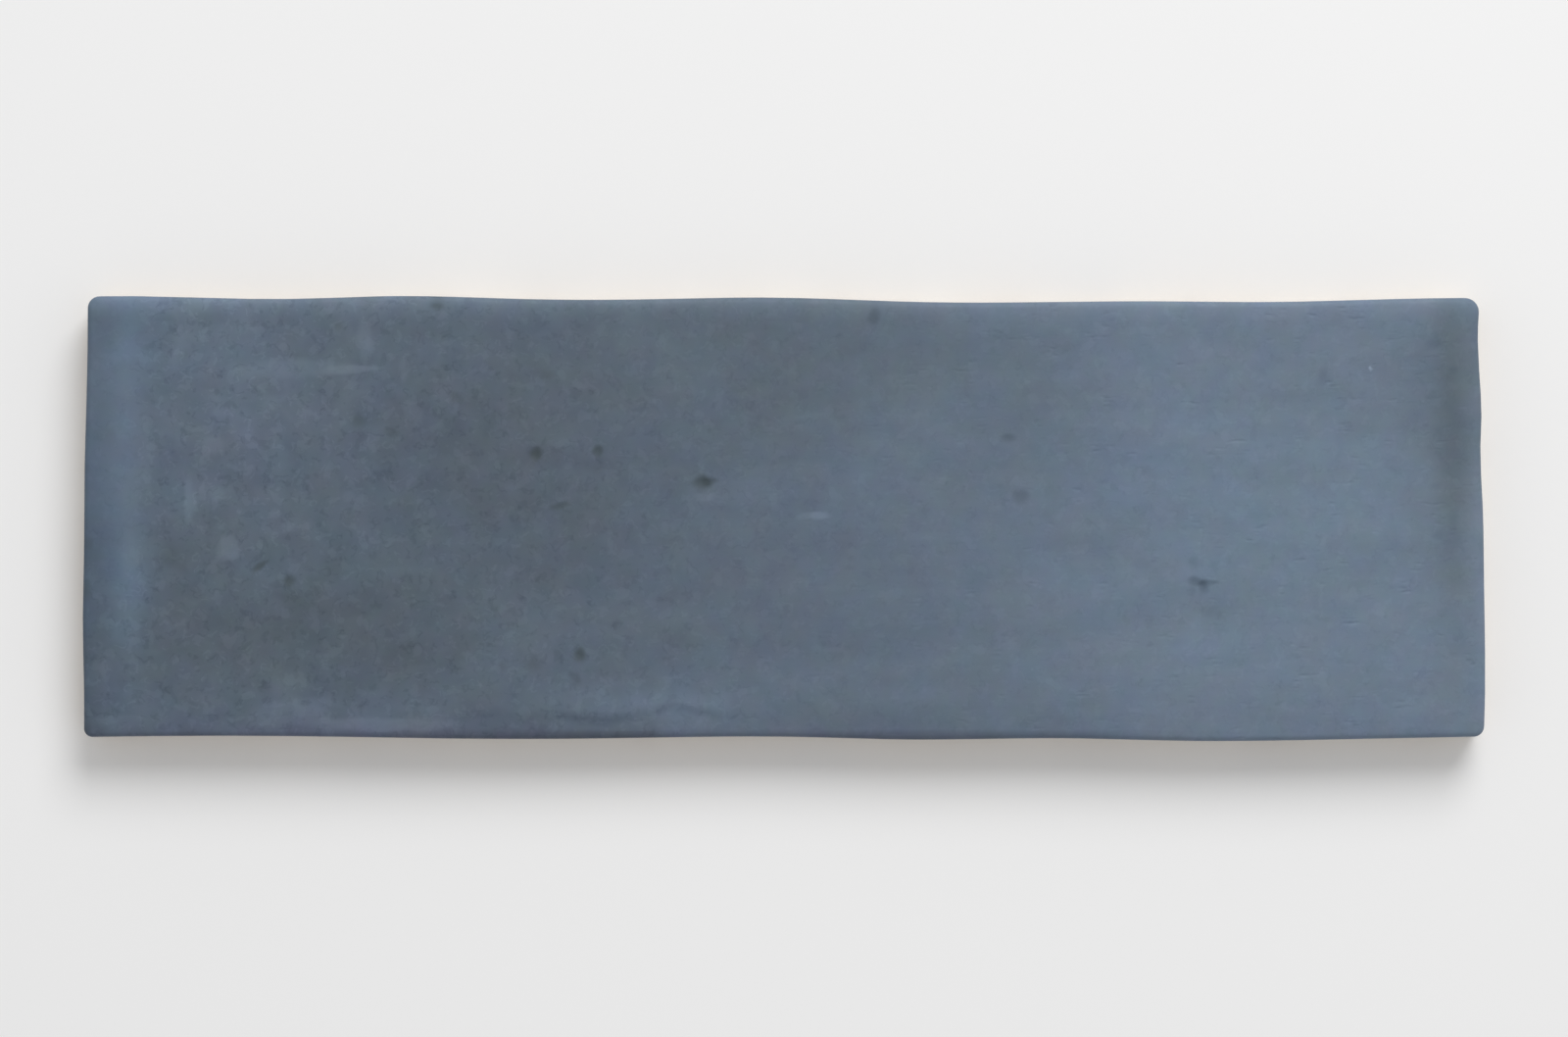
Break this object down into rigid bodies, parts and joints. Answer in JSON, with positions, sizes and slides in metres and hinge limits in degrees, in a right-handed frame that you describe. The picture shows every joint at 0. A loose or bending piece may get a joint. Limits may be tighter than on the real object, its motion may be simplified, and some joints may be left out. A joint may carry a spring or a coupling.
{
  "type": "glazed wall tile",
  "caption": "Oblong matte glazed ceramic wall tile with wandering edges, a softly rolling face and a ribbed back that keys into adhesive.",
  "frame": {"origin": "middle of the back, on the plane of its ribs", "axes": "+X along the tile, +Y across it, +Z out of the glazed face"},
  "size_m": [0.2007, 0.0637, 0.0083],
  "materials": {
    "matte_glaze": "matte"
  },
  "bodies": {
    "root": {"tile": "matte_glaze"}
  },
  "joints": []
}
